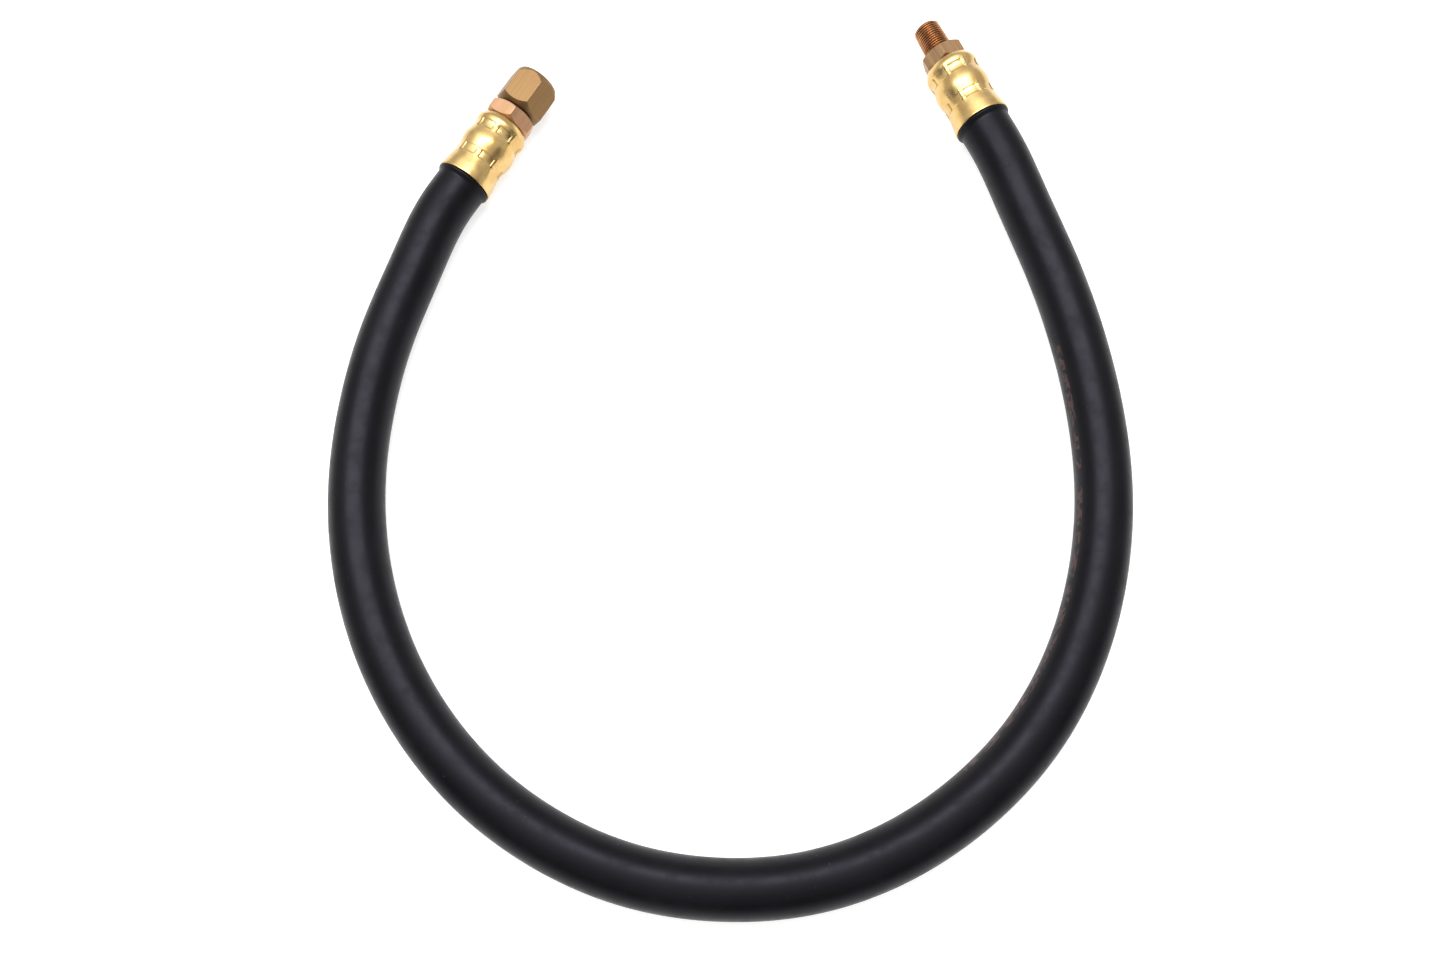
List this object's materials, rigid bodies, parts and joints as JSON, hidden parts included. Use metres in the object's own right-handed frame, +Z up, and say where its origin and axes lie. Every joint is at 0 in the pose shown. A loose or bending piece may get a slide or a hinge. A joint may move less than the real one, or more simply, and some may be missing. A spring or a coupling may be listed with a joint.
{
  "type": "hose whip",
  "caption": "Short black rubber hose laid in a U, with a crimped brass ferrule on each end, a male pipe-thread spigot at one end and a female swivel nut at the other.",
  "frame": {"origin": "middle of the footprint, on the surface that the hose lies on", "axes": "+X across the U from the swivel limb to the male limb, +Y from the bend to the open ends, +Z up"},
  "size_m": [0.2751, 0.3183, 0.0212],
  "materials": {
    "rubber_cover": "smooth extruded black rubber with a soft sheen",
    "textile_braid": "woven undyed yarn",
    "rubber_inner": "smooth black rubber",
    "drawn_brass": "bright polished yellow brass",
    "machined_brass": "machined brass with fine tool lines",
    "spring_wire": "drawn spring wire"
  },
  "bodies": {
    "hose": {"hose_cover": "rubber_cover", "outer_braid": "textile_braid", "friction_layer": "rubber_inner", "inner_braid": "textile_braid", "inner_tube": "rubber_inner", "male_ferrule": "drawn_brass", "male_stem": "machined_brass", "swivel_ferrule": "drawn_brass", "swivel_stem": "machined_brass"},
    "nut": {"swivel_nut": "machined_brass", "nut_retaining_ring": "spring_wire"}
  },
  "joints": [
    {"name": "nut_swivel", "type": "hinge", "parent": "hose", "child": "nut", "pos_m": [-0.06642, 0.13957, 0.0106], "axis": [0.5707, 0.8211, 0], "continuous": true}
  ]
}
